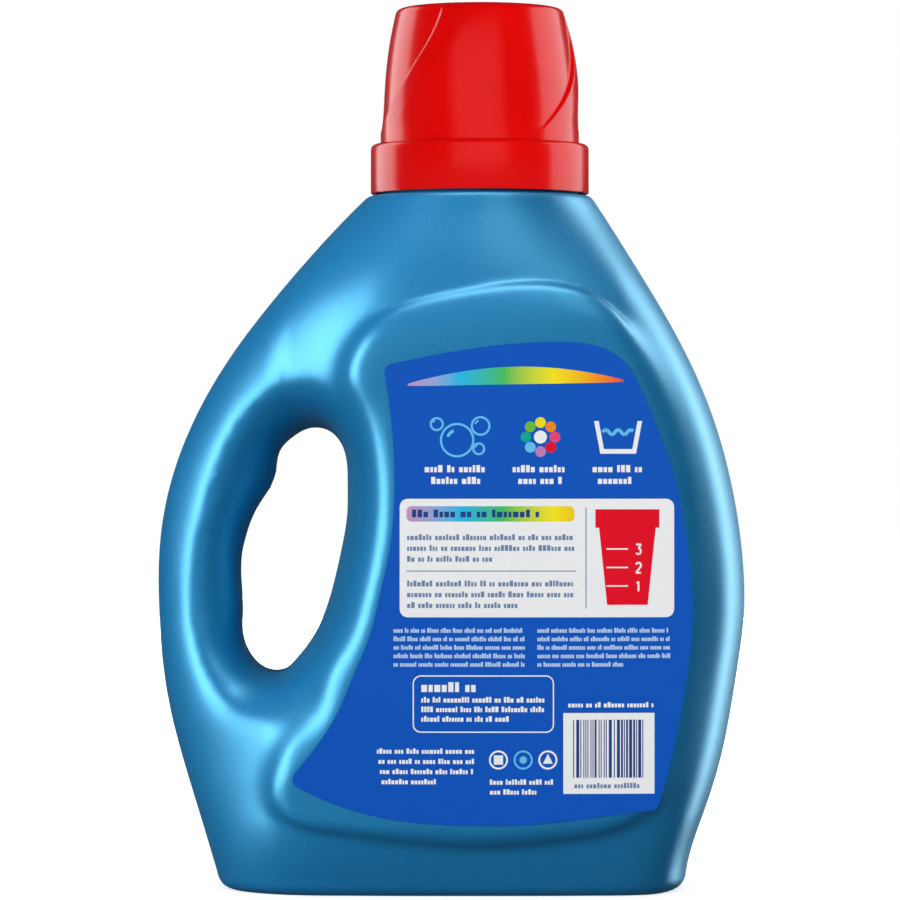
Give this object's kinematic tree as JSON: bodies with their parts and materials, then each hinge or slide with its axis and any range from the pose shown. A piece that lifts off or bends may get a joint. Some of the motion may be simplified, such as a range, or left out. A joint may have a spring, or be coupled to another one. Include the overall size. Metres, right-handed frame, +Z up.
{
  "type": "laundry detergent bottle",
  "caption": "Blow-moulded detergent bottle with a side grip, raised panels, a printed film, a pour spout and a screw-on measuring cap.",
  "frame": {"origin": "on the floor, under the middle of the bottle's width and depth", "axes": "+Z up through the bottle, -Y out of the printed panel, -X towards the grip"},
  "size_m": [0.1965, 0.1136, 0.2939],
  "materials": {
    "bottle_plastic": "pearl satin blue",
    "spout_plastic": "moulded natural white",
    "cap_plastic": "polished red",
    "label_film": "printed film",
    "liquid": "clear blue liquid"
  },
  "bodies": {
    "bottle_body": {"bottle": "bottle_plastic", "pour_spout": "spout_plastic", "back_label": "label_film", "detergent": "liquid"},
    "cap_body": {"cap": "cap_plastic"}
  },
  "joints": [
    {"name": "cap_lift", "type": "slide", "parent": "bottle_body", "child": "cap_body", "axis": [0, 0, 1], "range_m": [0, 0.065]}
  ]
}
